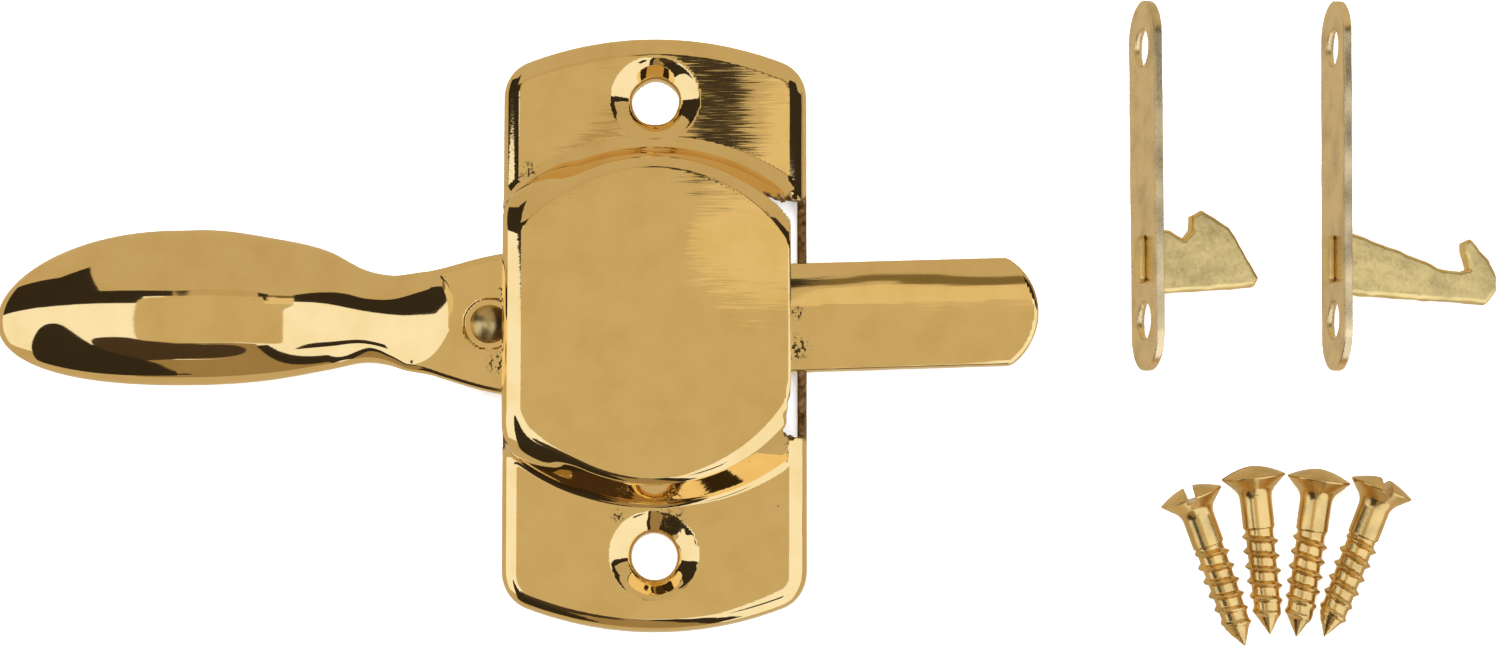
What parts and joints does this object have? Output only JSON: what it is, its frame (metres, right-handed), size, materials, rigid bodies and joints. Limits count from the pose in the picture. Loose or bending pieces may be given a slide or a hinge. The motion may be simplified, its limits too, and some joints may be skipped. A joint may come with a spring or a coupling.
{
  "type": "surface-mounted lever latch",
  "caption": "Brass surface-mounted lever latch: screw-on case, spring-centred handle and tongue on a pivot pin, with short and offset hook strikes and oval-head wood screws.",
  "frame": {"origin": "on the case's rear face, midway between its two screw holes, which is also the lever's pivot axis", "axes": "+Z out of the mounting face, away from the door; +X from the pivot along the tongue; +Y along the case, towards its upper screw. The plane z = 0 is also the surface the loose pieces lie on."},
  "size_m": [0.1488, 0.0643, 0.0104],
  "materials": {
    "polished_brass": "mirror polished, fine straight brush marks",
    "satin_brass": "satin, tumbled, faintly mottled",
    "screw_brass": "semi-bright machined",
    "spring_bronze": "drawn wire and sheet",
    "pin_steel": "bright turned"
  },
  "bodies": {
    "case": {"case": "polished_brass", "pivot_pin": "pin_steel", "rear_washer": "spring_bronze", "front_washer": "spring_bronze", "centering_spring": "spring_bronze"},
    "lever": {"tongue": "polished_brass", "handle": "polished_brass", "handle_rivet": "polished_brass", "spring_stud": "pin_steel"},
    "short_strike": {"short_strike_plate": "satin_brass", "short_strike_hook": "satin_brass"},
    "long_strike": {"long_strike_plate": "satin_brass", "long_strike_hook": "satin_brass"},
    "screw_1": {"wood_screw_1": "screw_brass"},
    "screw_2": {"wood_screw_2": "screw_brass"},
    "screw_3": {"wood_screw_3": "screw_brass"},
    "screw_4": {"wood_screw_4": "screw_brass"}
  },
  "joints": [
    {"name": "lever_turn", "type": "hinge", "parent": "case", "child": "lever", "pos_m": [0, 0, 0], "axis": [0, 0, 1], "range_deg": [-18, 18], "stiffness_Nm_per_rad": 0.15, "deforming": ["centering_spring"]},
    {"name": "short_strike_lift", "type": "slide", "parent": "case", "child": "short_strike", "axis": [0, 0, 1], "range_m": [0, 0.03]},
    {"name": "long_strike_lift", "type": "slide", "parent": "case", "child": "long_strike", "axis": [0, 0, 1], "range_m": [0, 0.03]},
    {"name": "screw_1_lift", "type": "slide", "parent": "case", "child": "screw_1", "axis": [0, 0, 1], "range_m": [0, 0.03]},
    {"name": "screw_2_lift", "type": "slide", "parent": "case", "child": "screw_2", "axis": [0, 0, 1], "range_m": [0, 0.03]},
    {"name": "screw_3_lift", "type": "slide", "parent": "case", "child": "screw_3", "axis": [0, 0, 1], "range_m": [0, 0.03]},
    {"name": "screw_4_lift", "type": "slide", "parent": "case", "child": "screw_4", "axis": [0, 0, 1], "range_m": [0, 0.03]}
  ]
}
